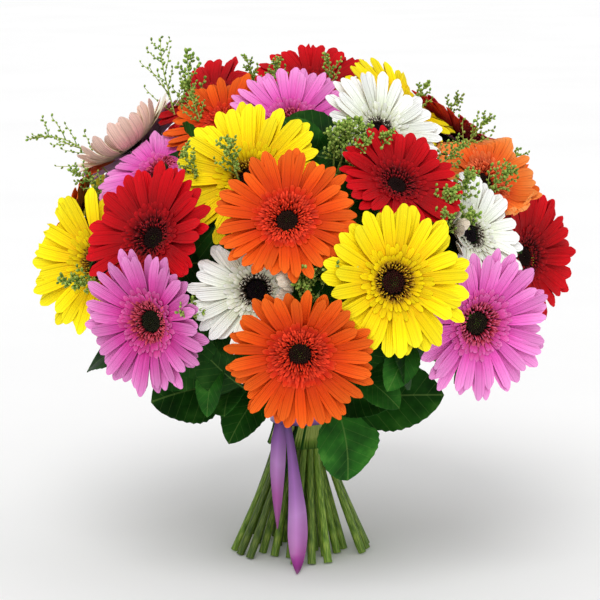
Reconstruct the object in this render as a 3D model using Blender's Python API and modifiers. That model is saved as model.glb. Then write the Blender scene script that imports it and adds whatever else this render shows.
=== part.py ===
# A hand-tied bunch of gerberas: a dome of blooms, their stems crossing at a ribbon and standing on
# their cut ends. Lengths are in millimetres, and MM brings them to Blender's metres.
# The front of the bunch looks along -Y, and an azimuth turns from there towards +X.
import math
import random

import bpy
import bmesh
from mathutils import Matrix, Vector

MM = 0.001

# The dome that the blooms' centres lie on
DOME_RADIUS = 195.0
DOME_RISE = 148.0
DOME_BASE = 238.0       # height of its widest level

# One bloom in each row: colour, azimuth, elevation, lift off the dome, diameter.
# Where two meet, the one with the higher lift lies over the other.
BLOOMS = [
    ("orange", 0, -9, 14, 118),
    ("yellow", 20, 9, 12, 124),
    ("white", -10, 7.5, -5, 106),
    ("magenta", -34, -3, 8, 120),
    ("magenta", 43, -5, 7, 124),
    ("orange", -3, 26, 11, 112),
    ("red", -37, 20, 4, 120),
    ("red", 28, 37, 4, 104),
    ("yellow", -17, 45.5, -13, 124),
    ("white", 50, 21.5, -9.5, 106),
    ("yellow", -63, 10, -13.5, 126),
    ("red", 82, 8, -7, 112),
    ("orange", 88, 27, -5, 106),
    ("orange", 68, 35, 0, 108),
    ("white", 38, 59, 0, 108),
    ("yellow", 99, 66, 3, 108),
    ("magenta", -8, 75, -14, 108),
    ("orange", -50, 66, -7, 104),
    ("red", 170, 72, 7, 108),
    ("red", -118.5, 66, 4, 106),
    ("magenta", -54, 43, -9, 108),
    ("white", -84, 45, 3, 108),
    ("orange", -90, 20, -1, 112),
    ("red", 106, 46, 5, 108),
    ("magenta", 136, 46, 1, 110),
    ("yellow", 176, 44, 4, 114),
    ("white", -146, 42, 0, 112),
    ("magenta", -115, 40, 2, 110),
    ("yellow", 114, 10, 5, 114),
    ("red", 143, 14, 0, 112),
    ("orange", 172, 8, 6, 116),
    ("magenta", -159, 12, 1, 114),
    ("yellow", -126, 9, 7, 114),
]

# Blooms that don't face straight out from the dome, by number: where they face (azimuth, elevation),
# and what stands for their lift where two meet
FACING = {
    5: (26, -3, 7),
    9: (-14, 30, 3),
    11: (-28, 8, -7),
    12: (48, 8, -4),
    13: (62, 22, -6),
    14: (44, 30, -3),
    15: (34, 34, 2),
    16: (50, 52, 0.5),
    17: (2, 42, 1.5),
    18: (-34, 50, 1),
    19: (0, 56, 0.3),
    20: (-40, 54, 0.2),
}

# A bloom, in shares of its radius unless a length is named
PETALS = 14
EYE = 0.15
CROWN = 0.37
CROWN_GAP = 0.9         # how far in the edge lies between two florets, as a share of CROWN
ROOT = 0.44
NOTCH = 0.62
SIDE = 0.9
SIDE_TURN = 0.35        # of the pitch from one petal to the next
RIB = 0.72
SHORTER = 0.07          # the most that a petal is short of the full radius
PETAL_RISE = math.radians(22)
DROOP_RADIUS = 170.0    # mm, of the arch that petals follow
CUP_RADIUS = 8.0        # mm, of the green cup under the petals
EYE_HEIGHT = 4.6
GROOVE_HEIGHT = 3.2
CROWN_HEIGHT = 8.0
ROOT_HEIGHT = 0.8       # mm, here and below, over the petals' arch
NOTCH_HEIGHT = 0.9
RIB_HEIGHT = 1.3
UNEVEN = 0.8            # mm, how far a petal stands above or below the arch
UNDERSIDE = 0.7
NEAR = 25.0             # mm between two blooms' rims within which one may press on the other
CLEARANCE = 2.2         # mm between a petal and one pressing on it
PAST_RIM = 2.0          # mm outside a bloom's rim from which its underside is taken to rise
RIM_SLOPE = 0.9
STEEPEST = 0.5          # least cosine between a petal's push and the bloom pressing on it
HEART = 15.0            # mm, the middle of a bloom that nothing presses
STEM_ROOM = 13.0        # mm that petals keep from the middle of a bloom over them

# Stems
STEM = 5.0              # mm thick at the neck
STEM_FOOT = 7.2
STEM_TOP = 4.6
CUP_DEPTH = 9.0
SEAT = 0.3              # gap between pieces that touch
NECK_HEIGHT = 120.0
NECK_WAIST = 36.5       # height over which the bunch widens from the neck
TWIST = math.radians(-30)
RING_STEP = 5.6
CLOSE = 4.2             # between stems that are joined in a group
HEADING_STEP = 5.0      # over which a stem's heading is taken where it leaves that course
LEAVE_NECK = 24.0       # height above the neck where stems part from the bunch's common course
STEM_SHARES = (0.35, 0.7)
STEM_PULL = 0.9         # how far a stem keeps its first and last heading
BELOW = -4.0            # a stem is drawn from here and cut off at the table
SWELL_HEIGHT = 70.0     # where a stem starts to swell towards its foot
SWELL = 0.3
CUP_PROFILE = ((0.45, 5.6), (0.0, 7.4))     # share of the cup's depth, and radius
RINGS = [(1,), (3, 3), (3, 3, 3, 3), (3, 3, 3, 3, 2)]

# The greens pass the neck in slots of their own, outside the gerberas' stems, and are cut short
GREEN_RING = 21.2
GREEN_SLOTS = 20
TWIG = 3.0
TWIG_SHARES = (0.4, 0.75, 1.0)
TWIG_PULL = 0.8         # how far a twig keeps its first and last heading
SPRIG = 2.2
SPRIG_SHARES = (0.3, 0.6, 0.85, 1.0)
SPRIG_PULL = 0.9
CUT_HEIGHT = 92.0       # of all but the longest twig

# One leafy stem in each row: its slot, the height where it is cut, the twig's end, then its leaves.
# A place is (azimuth, distance from the bunch's middle line, height), and a leaf is (share along
# the twig, place of its tip, width).
LEAFY = [
    (16, 92, (12, 94, 342), ((1.0, (-8, 98, 380), 32), (0.97, (17, 105, 373), 28))),
    (0, 58, (-30, 108, 162), ((1.0, (-47, 164, 154), 64), (0.92, (-24, 152, 150), 44),
                              (0.6, (-32, 112, 116), 44))),
    (1, 92, (20, 96, 148), ((1.0, (47, 158, 158), 60), (0.8, (30, 84, 76), 58),
                            (0.95, (29, 152, 158), 40))),
    (5, 92, (80, 116, 178), ((1.0, (62, 172, 186), 48), (0.9, (96, 172, 182), 52),
                             (0.7, (74, 146, 158), 46))),
    (12, 92, (-84, 122, 178), ((1.0, (-69, 190, 174), 50), (0.9, (-104, 172, 180), 52),
                               (0.7, (-80, 146, 156), 44))),
    (8, 92, (-150, 112, 180), ((1.0, (-136, 172, 186), 54), (0.9, (-168, 172, 182), 52),
                               (0.7, (-146, 146, 158), 46))),
    (6, 92, (150, 112, 180), ((1.0, (134, 172, 186), 54), (0.9, (166, 172, 184), 52),
                              (0.7, (148, 146, 158), 46))),
]
LEAF_ROWS = 8
LEAF_MID = 1.3          # mm thick along the midrib
LEAF_BASE = 0.55        # powers that round a blade towards its base and its tip,
LEAF_POINT = 0.72       # and what brings their product to 1 where it is widest
LEAF_FULL = 2.38
LEAF_WAVE = 0.05
LEAF_ARCH = 0.1         # shares of a leaf's length that its middle rises and its tip droops
LEAF_DROOP = 0.07
LEAF_TROUGH = 0.16      # slope of the blade's two halves
LEAF_UP = 0.35          # how far a leaf faces up rather than out
STALK = 0.16            # share of a leaf that is its stalk
STALK_WIDTH = 2.4
INSIDE_TWIG = 0.995     # share of its place along the twig that sinks a leaf's root in it

# One flowering sprig in each row: its slot, the azimuth and elevation where it leaves the dome,
# how far its tip stands out, how far the tip leans over (towards +X, towards +Z), and its arch
SPRAYS = [
    (4, 14, 49, 24, 10, 12, 3),
    (2, 48, 42, 24, 14, 8, 3),
    (7, 111, 21, 50, -14, 22, 3),
    (11, -106, 55, 46, 4, 20, 3),
    (14, -102, 31, 58, -22, 0, 16),
    (10, -101, 82, 30, 10, 8, 3),
    (9, 171, 25, 40, 0, 16, 3),
]
SPRAY_DEPTH = 14.0      # how far inside the dome a sprig's pods start
BEADS = 7
BEAD = 2.1              # mm radius of a pod at the sprig's foot
BEAD_TAPER = 0.45       # share of it that is lost by the tip
BEAD_NECK = 0.75
BEAD_SWAY = 0.9         # mm that the stalk winds from side to side
BEAD_TURN = 2.4         # radians from one point of it to the next
SIDE_BEADS = 2
SIDE_LENGTH = 0.42      # of a side shoot, as a share of how far the sprig stands out
SIDE_ALONG = 0.55
SIDE_ACROSS = 0.8
SIDE_ARCH = 2.0

# The ribbon: a band round the neck, a knot in front, and two tails that lie down the stems.
# A tail's points are across, towards the front and up, each with the ribbon's width there.
BAND_HEIGHT = 16.0
BAND_SIDES = 20
BAND_INSIDE = 24.7
BAND_THICK = 1.0
RIBBON = 0.8
KNOT_AZIMUTH = -32
KNOT_SIZE = (8.0, 5.0, 8.0)
TAILS = [
    [(-16, 27, 121, 9), (-18, 31, 101, 16), (-18, 36, 77, 18), (-18, 45, 51, 13), (-19, 54, 30, 2)],
    [(-14, 28, 121, 8), (-9, 32, 100, 9), (-4, 40, 70, 14), (-0.5, 51, 39, 19), (-0.5, 62, 12, 19),
     (-2, 73, 0.8, 14), (-2.5, 90, 0.6, 2)],
]

# Colour and roughness
FINISHES = {
    "orange": ((0.85, 0.13, 0.01), 0.55),
    "yellow": ((0.9, 0.7, 0.01), 0.55),
    "white": ((0.85, 0.85, 0.7), 0.55),
    "magenta": ((0.65, 0.1, 0.4), 0.55),
    "red": ((0.5, 0.004, 0.006), 0.55),
    "stem": ((0.12, 0.25, 0.03), 0.5),
    "leaf": ((0.01, 0.08, 0.015), 0.4),
    "sprig": ((0.25, 0.35, 0.08), 0.6),
    "ribbon": ((0.35, 0.08, 0.4), 0.3),
}


def clear_scene():
    for obj in list(bpy.data.objects):
        bpy.data.objects.remove(obj, do_unlink=True)


def new_collection(name):
    collection = bpy.data.collections.new(name)
    bpy.context.scene.collection.children.link(collection)
    return collection


def finish_of(name):
    material = bpy.data.materials.get(name) or bpy.data.materials.new(name)
    material.use_nodes = True
    colour, roughness = FINISHES[name]
    shader = material.node_tree.nodes["Principled BSDF"]
    shader.inputs["Base Color"].default_value = (*colour, 1)
    shader.inputs["Roughness"].default_value = roughness
    shader.inputs["Metallic"].default_value = 0.0
    return material


def direction(azimuth, elevation):
    a, e = math.radians(azimuth), math.radians(elevation)
    return Vector((math.sin(a) * math.cos(e), -math.cos(a) * math.cos(e), math.sin(e)))


def on_dome(azimuth, elevation):
    # The dome's point in a direction, and the way that the dome faces there
    ray = direction(azimuth, elevation)
    point = Vector((ray.x * DOME_RADIUS, ray.y * DOME_RADIUS, DOME_BASE + ray.z * DOME_RISE))
    return point, Vector((ray.x / DOME_RADIUS, ray.y / DOME_RADIUS, ray.z / DOME_RISE)).normalized()


class Bloom:
    def __init__(self, index, row):
        self.colour, self.azimuth, self.elevation, self.lift, diameter = row
        self.index = index
        self.name = f"bloom_{index + 1:02d}_{self.colour}"
        self.radius = diameter / 2
        place, self.axis = on_dome(self.azimuth, self.elevation)
        self.centre = place + self.axis * self.lift
        self.order = self.lift
        if index + 1 in FACING:
            azimuth, elevation, self.order = FACING[index + 1]
            self.axis = direction(azimuth, elevation)
        side = Vector((0, 0, 1)).cross(self.axis).normalized()
        self.turned = Matrix((side, self.axis.cross(side), self.axis)).transposed()
        self.over = []

    def rank(self):
        return (self.order, -self.index)

    def surface(self, rho):
        return rho * math.tan(PETAL_RISE) - rho * rho / (2 * DROOP_RADIUS)

    def place(self, rho, turn, height):
        return self.centre + self.turned @ Vector((rho * math.cos(turn), rho * math.sin(turn), height))

    def headroom(self, point):
        # How far a point stands above what this bloom leaves free under its petals
        local = self.turned.transposed() @ (point - self.centre)
        rho = math.hypot(local.x, local.y)
        share = (min(rho, self.radius) - CUP_RADIUS) / (self.radius - CUP_RADIUS)
        underside = -UNDERSIDE + share * (self.surface(self.radius) + UNDERSIDE)
        outside = max(0.0, rho - self.radius - PAST_RIM)
        return local.z - (underside - CLEARANCE + RIM_SLOPE * outside)

    def pressed(self, rho, turn, height):
        # The same point, bent down clear of every bloom that lies over this one
        point = self.place(rho, turn, height)
        if rho <= HEART:
            return point
        for _ in range(2):
            for other in self.over:
                excess = other.headroom(point)
                if excess > 0:
                    point -= self.axis * (excess / max(STEEPEST, self.axis.dot(other.axis)))
                    point += other.past_stem(point)
        return point

    def past_stem(self, point):
        # The step that takes a point clear of this bloom's own cup and stem
        local = self.turned.transposed() @ (point - self.centre)
        rho = math.hypot(local.x, local.y)
        short = max(0.0, STEM_ROOM - rho) / max(rho, 0.1)
        return self.turned @ Vector((local.x * short, local.y * short, 0))


def all_blooms():
    blooms = [Bloom(index, row) for index, row in enumerate(BLOOMS)]
    for bloom in blooms:
        near = [b for b in blooms if (b.centre - bloom.centre).length < b.radius + bloom.radius + NEAR]
        bloom.over = [b for b in near if b.rank() > bloom.rank()]
    return blooms


def add_object(name, mesh, finish, collection):
    mesh.name = name
    mesh.materials.clear()
    mesh.materials.append(finish)
    obj = bpy.data.objects.new(name, mesh)
    collection.objects.link(obj)
    return obj


def bloom_mesh(bloom):
    # A sphere's grid, four columns to a petal: its rings become the eye, crown, petals and underside
    columns, levels = 4 * PETALS, 7
    bm = bmesh.new()
    bmesh.ops.create_uvsphere(bm, u_segments=columns, v_segments=levels, radius=1.0)
    rng = random.Random(bloom.index)
    long = [bloom.radius * (1 - SHORTER * rng.random()) for _ in range(PETALS)]
    stand = [rng.uniform(-UNEVEN, UNEVEN) for _ in range(PETALS)]
    pitch = 2 * math.pi / PETALS
    radius = bloom.radius
    for vert in bm.verts:
        level = round(math.acos(max(-1, min(1, vert.co.z))) / math.pi * levels)
        column = round(math.atan2(vert.co.y, vert.co.x) / (2 * math.pi) * columns) % columns
        petal, part = divmod(column, 4)
        turn = petal * pitch
        if level == 0:
            rho, height = 0.0, EYE_HEIGHT
        elif level == 1:
            rho, height = EYE * radius, GROOVE_HEIGHT
        elif level == 2:
            turn += 0.5 * (part // 2) * pitch
            rho, height = CROWN * radius * (1, CROWN_GAP)[part // 2], CROWN_HEIGHT
        elif level == 3:
            rho, height = ROOT * radius, bloom.surface(ROOT * radius) + ROOT_HEIGHT
        elif level in (4, 5):
            # The rib stands in the middle of a petal, and all else on these rings is its edge
            share = (NOTCH, SIDE, 1.0, SIDE)[part]
            turn += (0, 0.5 - SIDE_TURN, 0.5, 0.5 + SIDE_TURN)[part] * pitch
            end = long[petal] if part else radius
            rho = end * share
            height = bloom.surface(rho) + (NOTCH_HEIGHT if part == 0 else stand[petal])
            if level == 4 and part == 2:
                rho = end * RIB
                height = bloom.surface(rho) + stand[petal] + RIB_HEIGHT
        elif level == 6:
            rho, height = CUP_RADIUS, -UNDERSIDE
        else:
            rho, height = 0.0, -UNDERSIDE
        vert.co = bloom.pressed(rho, turn, height) * MM
    bmesh.ops.remove_doubles(bm, verts=bm.verts, dist=0.00001)
    bmesh.ops.triangulate(bm, faces=bm.faces)
    mesh = bpy.data.meshes.new(bloom.name)
    bm.to_mesh(mesh)
    bm.free()
    return mesh


def make_blooms(blooms, collection):
    for bloom in blooms:
        add_object(bloom.name, bloom_mesh(bloom), finish_of(bloom.colour), collection)


def slots_of(ring, groups):
    # Where a ring's stems pass the neck: each group's stems close together, and the groups apart
    radius = RING_STEP * ring
    if ring == 0:
        return [(0, 0.0, 0.0)]
    step = 2 * math.asin(CLOSE / 2 / radius)
    found = []
    for group, count in enumerate(groups):
        middle = 2 * math.pi * group / len(groups)
        for place in range(count):
            found.append((group, radius, middle + (place - (count - 1) / 2) * step))
    return found


def apart(a, b):
    return math.atan2(math.sin(a - b), math.cos(a - b))


def assign_slots(blooms):
    # The highest blooms take the inner rings, and each ring turns to suit its blooms' azimuths
    waiting = sorted(blooms, key=lambda b: -b.elevation)
    groups = {}
    for ring, sizes in enumerate(RINGS):
        slots = slots_of(ring, sizes)
        members = sorted(waiting[:len(slots)], key=lambda b: b.azimuth % 360)
        waiting = waiting[len(slots):]
        best = None
        for shift in range(len(slots)):
            pairs = [(b, slots[(i + shift) % len(slots)]) for i, b in enumerate(members)]
            offsets = [Vector((math.cos(d), math.sin(d))) for d in
                       (math.radians(b.azimuth) - s[2] for b, s in pairs)]
            mean = sum(offsets, Vector((0, 0)))
            phase = math.atan2(mean.y, mean.x)
            miss = sum(apart(math.radians(b.azimuth), s[2] + phase) ** 2 for b, s in pairs)
            if best is None or miss < best[0]:
                best = (miss, phase, pairs)
        _, phase, pairs = best
        for bloom, (group, radius, angle) in pairs:
            groups.setdefault((ring, group), []).append((bloom, radius, angle + phase))
    return [groups[key] for key in sorted(groups)]


def in_bunch(radius, angle, height):
    # Every stem follows one widening and one twist round the neck, so none comes nearer another
    rise = (height - NECK_HEIGHT) / NECK_WAIST
    spread = radius * math.sqrt(1 + rise * rise)
    turn = angle - TWIST * math.atan(rise) / math.atan(NECK_HEIGHT / NECK_WAIST)
    return Vector((spread * math.sin(turn), -spread * math.cos(turn), height))


def hermite(start, out, end, into, share):
    s, t = share, 1 - share
    return (start * (t * t * (1 + 2 * s)) + out * (s * t * t) + end * (s * s * (3 - 2 * s))
            - into * (s * s * t))


def stem_route(bloom, radius, angle):
    # Points from below the table to the bloom's back, each with the stem's radius there
    route = [(in_bunch(radius, angle, BELOW), STEM_FOOT / 2),
             (in_bunch(radius, angle, SWELL_HEIGHT), STEM / 2 + SWELL),
             (in_bunch(radius, angle, NECK_HEIGHT), STEM / 2)]
    leave = NECK_HEIGHT + LEAVE_NECK
    start = in_bunch(radius, angle, leave)
    heading = (start - in_bunch(radius, angle, leave - HEADING_STEP)).normalized()
    cup_foot = bloom.centre - bloom.axis * (CUP_DEPTH + UNDERSIDE + SEAT)
    reach = (cup_foot - start).length * STEM_PULL
    route.append((start, STEM / 2))
    for share in STEM_SHARES:
        point = hermite(start, heading * reach, cup_foot, bloom.axis * reach, share)
        route.append((point, STEM / 2 + (STEM_TOP - STEM) / 2 * share))
    route.append((cup_foot, STEM_TOP / 2))
    for depth, width in CUP_PROFILE:
        route.append((bloom.centre - bloom.axis * (UNDERSIDE + SEAT + depth * CUP_DEPTH), width))
    return route


def tube_mesh(name, route, sides=6):
    # A curve with a section of 4 or 6 sides and filled ends, made a closed mesh
    curve = bpy.data.curves.new(name, "CURVE")
    curve.dimensions = "3D"
    curve.bevel_depth = MM
    curve.bevel_resolution = sides // 2 - 2
    curve.use_fill_caps = True
    spline = curve.splines.new("POLY")
    spline.points.add(len(route) - 1)
    for point, (place, radius) in zip(spline.points, route):
        point.co = (*(place * MM), 1)
        point.radius = radius
    guide = bpy.data.objects.new(name, curve)
    bpy.context.scene.collection.objects.link(guide)
    graph = bpy.context.evaluated_depsgraph_get()
    mesh = bpy.data.meshes.new_from_object(guide.evaluated_get(graph))
    bpy.data.objects.remove(guide, do_unlink=True)
    bpy.data.curves.remove(curve)
    bm = bmesh.new()
    bm.from_mesh(mesh)
    bmesh.ops.remove_doubles(bm, verts=bm.verts, dist=0.000001)
    bm.to_mesh(mesh)
    bm.free()
    return mesh


def cut_level(mesh, height):
    # Cuts a mesh flat across at a height and closes the cut
    bm = bmesh.new()
    bm.from_mesh(mesh)
    bmesh.ops.bisect_plane(bm, geom=bm.verts[:] + bm.edges[:] + bm.faces[:], plane_co=(0, 0, height * MM),
                           plane_no=(0, 0, 1), clear_inner=True)
    rim = [edge for edge in bm.edges if edge.is_boundary]
    bmesh.ops.holes_fill(bm, edges=rim, sides=0)
    bmesh.ops.recalc_face_normals(bm, faces=bm.faces)
    bm.to_mesh(mesh)
    bm.free()
    return mesh


def joined(name, meshes):
    # One closed body from several that run into each other
    if len(meshes) == 1:
        return meshes[0]
    base = bpy.data.objects.new(name, meshes[0])
    bpy.context.scene.collection.objects.link(base)
    others = new_collection(name + "_joined")
    for mesh in meshes[1:]:
        others.objects.link(bpy.data.objects.new(name, mesh))
    union = base.modifiers.new("union", "BOOLEAN")
    union.operation = "UNION"
    union.operand_type = "COLLECTION"
    union.collection = others
    union.solver = "EXACT"
    graph = bpy.context.evaluated_depsgraph_get()
    mesh = bpy.data.meshes.new_from_object(base.evaluated_get(graph))
    for obj in [base, *others.objects]:
        bpy.data.objects.remove(obj, do_unlink=True)
    bpy.data.collections.remove(others)
    return mesh


def make_stems(blooms, collection):
    for index, group in enumerate(assign_slots(blooms)):
        name = f"stems_{index + 1:02d}"
        stems = [cut_level(tube_mesh(name, stem_route(*member)), 0.0) for member in group]
        add_object(name, joined(name, stems), finish_of("stem"), collection)


def place_at(azimuth, distance, height):
    a = math.radians(azimuth)
    return Vector((distance * math.sin(a), -distance * math.cos(a), height))


def green_route(slot, cut, end, into, wide, shares, pull):
    # From its cut end through the neck, then a smooth way to its end, heading there along "into"
    angle = 2 * math.pi * slot / GREEN_SLOTS
    heights = sorted({cut, CUT_HEIGHT, NECK_HEIGHT})
    route = [(in_bunch(GREEN_RING, angle, height), wide / 2) for height in heights]
    leave = NECK_HEIGHT + LEAVE_NECK
    start = in_bunch(GREEN_RING, angle, leave)
    heading = (start - in_bunch(GREEN_RING, angle, leave - HEADING_STEP)).normalized()
    reach = (end - start).length * pull
    route.append((start, wide / 2))
    for share in shares:
        route.append((hermite(start, heading * reach, end, into * reach, share), wide / 2))
    return route


def point_along(route, share):
    # The point at a share of the way from the neck to the route's end
    points = [p for p, _ in route if p.z >= NECK_HEIGHT]
    lengths = [(b - a).length for a, b in zip(points, points[1:])]
    left = share * sum(lengths)
    for a, b, length in zip(points, points[1:], lengths):
        if left <= length:
            return a.lerp(b, left / length)
        left -= length
    return points[-1]


def leaf_mesh(name, base, tip, width):
    # A grid wrapped round into a flat tube with sharp edges: a stalk, then a pointed, waved blade
    bm = bmesh.new()
    bmesh.ops.create_grid(bm, x_segments=4, y_segments=LEAF_ROWS, size=1.0)
    along = (tip - base).normalized()
    length = (tip - base).length
    outward = Vector((base.x + tip.x, base.y + tip.y, 0)).normalized() + Vector((0, 0, LEAF_UP))
    across = along.cross(outward).normalized()
    face = across.cross(along).normalized()
    for vert in bm.verts:
        column = round((vert.co.x + 1) * 2)
        row = round((vert.co.y + 1) / 2 * LEAF_ROWS)
        share = row / LEAF_ROWS
        blade = max(0.0, (share - STALK) / (1 - STALK))
        wave = 1 + LEAF_WAVE * (-1) ** row
        half = width / 2 * LEAF_FULL * blade ** LEAF_BASE * (1 - blade) ** LEAF_POINT * wave
        half = max(half, STALK_WIDTH / 2 if share < 0.5 else 0.0)
        arch = length * (LEAF_ARCH * math.sin(math.pi * share) - LEAF_DROOP * share ** 2)
        side = (-1, 0, 1, 0, -1)[column] * half
        lift = arch + LEAF_TROUGH * abs(side)
        if column in (1, 3) and row < LEAF_ROWS:
            lift += LEAF_MID / 2 * (1 if column == 1 else -1)
        vert.co = (base + along * (share * length) + across * side + face * lift) * MM
    bmesh.ops.remove_doubles(bm, verts=bm.verts, dist=0.00001)
    bmesh.ops.holes_fill(bm, edges=[e for e in bm.edges if e.is_boundary], sides=0)
    bmesh.ops.triangulate(bm, faces=bm.faces)
    bmesh.ops.recalc_face_normals(bm, faces=bm.faces)
    mesh = bpy.data.meshes.new(name)
    bm.to_mesh(mesh)
    bm.free()
    return mesh


def make_leafy_stems(collection):
    for index, (slot, cut, end, leaves) in enumerate(LEAFY):
        name = f"leafy_{index + 1:02d}"
        target = place_at(*end)
        into = (target - Vector((0, 0, NECK_HEIGHT))).normalized()
        route = green_route(slot, cut, target, into, TWIG, TWIG_SHARES, TWIG_PULL)
        meshes = [cut_level(tube_mesh(name, route), cut + 1)]
        for share, tip, width in leaves:
            meshes.append(leaf_mesh(name, point_along(route, share * INSIDE_TWIG), place_at(*tip), width))
        add_object(name, joined(name, meshes), finish_of("leaf"), collection)


def bead_route(start, end, arch, beads):
    # A thin stalk that swells into a pod at every other point
    route = []
    for i in range(2 * beads + 1):
        share = i / (2 * beads)
        point = start.lerp(end, share) + Vector((0, 0, 4 * arch * share * (1 - share)))
        point += Vector((math.sin(i * BEAD_TURN), math.cos(i * BEAD_TURN), 0)) * BEAD_SWAY
        route.append((point, BEAD * (1 - BEAD_TAPER * share) if i % 2 else BEAD_NECK))
    return route


def make_sprays(collection):
    for index, (slot, azimuth, elevation, out, lean_x, lean_z, arch) in enumerate(SPRAYS):
        name = f"sprig_{index + 1:02d}"
        leave, axis = on_dome(azimuth, elevation)
        foot = leave - axis * SPRAY_DEPTH
        tip = leave + axis * out + Vector((lean_x, 0, lean_z))
        main = green_route(slot, CUT_HEIGHT, foot, axis, SPRIG, SPRIG_SHARES, SPRIG_PULL)
        main += bead_route(foot, tip, arch, BEADS)[1:]
        meshes = [cut_level(tube_mesh(name, main, 4), CUT_HEIGHT + 1)]
        way = (tip - foot).normalized()
        side = way.cross(Vector((0, 0, 1))).normalized()
        for turn in (-1, 1):
            start = main[-BEADS - 1 + 2 * turn][0]
            branch = (way * SIDE_ALONG + side * turn * SIDE_ACROSS).normalized()
            end = start + branch * out * SIDE_LENGTH
            meshes.append(tube_mesh(name, bead_route(start, end, SIDE_ARCH, SIDE_BEADS), 4))
        add_object(name, joined(name, meshes), finish_of("sprig"), collection)


def thickened(name, mesh, thickness, offset):
    # An open sheet given its thickness by Solidify
    sheet = bpy.data.objects.new(name, mesh)
    bpy.context.scene.collection.objects.link(sheet)
    wall = sheet.modifiers.new("thickness", "SOLIDIFY")
    wall.thickness = thickness * MM
    wall.offset = offset
    graph = bpy.context.evaluated_depsgraph_get()
    solid = bpy.data.meshes.new_from_object(sheet.evaluated_get(graph))
    bpy.data.objects.remove(sheet, do_unlink=True)
    return solid


def band_mesh():
    # An open drum round the neck, clear of the twigs at its upper and lower edge
    corner = BAND_INSIDE / math.cos(math.pi / BAND_SIDES) * MM
    bm = bmesh.new()
    bmesh.ops.create_cone(bm, cap_ends=False, segments=BAND_SIDES, radius1=corner, radius2=corner,
                          depth=BAND_HEIGHT * MM, matrix=Matrix.Translation((0, 0, NECK_HEIGHT * MM)))
    mesh = bpy.data.meshes.new("band")
    bm.to_mesh(mesh)
    bm.free()
    return thickened("band", mesh, BAND_THICK, 1.0)


def tail_mesh(points):
    bm = bmesh.new()
    bmesh.ops.create_grid(bm, x_segments=1, y_segments=len(points) - 1, size=1.0)
    for vert in bm.verts:
        x, front, z, width = points[round((vert.co.y + 1) / 2 * (len(points) - 1))]
        vert.co = Vector((x + vert.co.x * width / 2, -front, z)) * MM
    mesh = bpy.data.meshes.new("tail")
    bm.to_mesh(mesh)
    bm.free()
    return thickened("tail", mesh, RIBBON, 0.0)


def knot_mesh():
    middle = place_at(KNOT_AZIMUTH, BAND_INSIDE + SEAT + KNOT_SIZE[1], NECK_HEIGHT)
    bm = bmesh.new()
    bmesh.ops.create_uvsphere(bm, u_segments=8, v_segments=5, radius=1.0)
    turn = Matrix.Rotation(math.radians(KNOT_AZIMUTH), 3, "Z")
    for vert in bm.verts:
        swell = Vector([c * size for c, size in zip(vert.co, KNOT_SIZE)])
        vert.co = (middle + turn @ swell) * MM
    mesh = bpy.data.meshes.new("knot")
    bm.to_mesh(mesh)
    bm.free()
    return mesh


def make_ribbon(collection):
    pieces = [band_mesh(), knot_mesh(), *[tail_mesh(points) for points in TAILS]]
    add_object("ribbon", joined("ribbon", pieces), finish_of("ribbon"), collection)


def main():
    clear_scene()
    collection = new_collection("gerbera_bouquet")
    blooms = all_blooms()
    make_blooms(blooms, collection)
    make_stems(blooms, collection)
    make_leafy_stems(collection)
    make_sprays(collection)
    make_ribbon(collection)


main()
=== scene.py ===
from functools import partial
import math

import bmesh
import bpy
import numpy as np
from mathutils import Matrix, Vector


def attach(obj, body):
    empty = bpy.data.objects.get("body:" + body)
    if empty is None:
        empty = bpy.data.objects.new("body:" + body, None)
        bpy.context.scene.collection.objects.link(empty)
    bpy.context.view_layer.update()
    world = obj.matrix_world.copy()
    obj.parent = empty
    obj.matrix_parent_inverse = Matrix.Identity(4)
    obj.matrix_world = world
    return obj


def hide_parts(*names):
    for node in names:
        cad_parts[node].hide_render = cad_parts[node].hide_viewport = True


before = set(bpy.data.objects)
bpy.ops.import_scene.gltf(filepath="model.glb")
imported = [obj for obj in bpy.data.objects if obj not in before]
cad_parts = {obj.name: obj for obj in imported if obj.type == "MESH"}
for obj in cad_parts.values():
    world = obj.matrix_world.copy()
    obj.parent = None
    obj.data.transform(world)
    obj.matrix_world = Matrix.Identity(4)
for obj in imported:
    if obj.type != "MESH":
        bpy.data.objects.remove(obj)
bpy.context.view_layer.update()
mm = 0.001  # everything below is in millimetres until a mesh is made
goldenTurn = 137.508

# The bunch looks along -Y, and an azimuth turns from there towards +X
dome = {"radius": 195.0, "rise": 148.0, "base": 238.0}

# colour, azimuth, elevation, lift off the dome, diameter
bloomRows = [
    ("orange", 0, -9, 14, 118), ("yellow", 20, 9, 12, 124), ("white", -10, 7.5, -5, 106),
    ("magenta", -34, -3, 8, 120), ("magenta", 43, -5, 7, 124), ("orange", -3, 26, 11, 112),
    ("red", -37, 20, 4, 120), ("red", 28, 37, 4, 104), ("yellow", -17, 45.5, -13, 124),
    ("white", 50, 21.5, -9.5, 106), ("yellow", -63, 10, -13.5, 126), ("red", 82, 8, -7, 112),
    ("orange", 88, 27, -5, 106), ("orange", 68, 35, 0, 108), ("white", 38, 59, 0, 108),
    ("yellow", 99, 66, 3, 108), ("magenta", -8, 75, -14, 108), ("orange", -50, 66, -7, 104),
    ("red", 170, 72, 7, 108), ("red", -118.5, 66, 4, 106), ("magenta", -54, 43, -9, 108),
    ("white", -84, 45, 3, 108), ("orange", -90, 20, -1, 112), ("red", 106, 46, 5, 108),
    ("magenta", 136, 46, 1, 110), ("yellow", 176, 44, 4, 114), ("white", -146, 42, 0, 112),
    ("magenta", -115, 40, 2, 110), ("yellow", 114, 10, 5, 114), ("red", 143, 14, 0, 112),
    ("orange", 172, 8, 6, 116), ("magenta", -159, 12, 1, 114), ("yellow", -126, 9, 7, 114),
]

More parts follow.
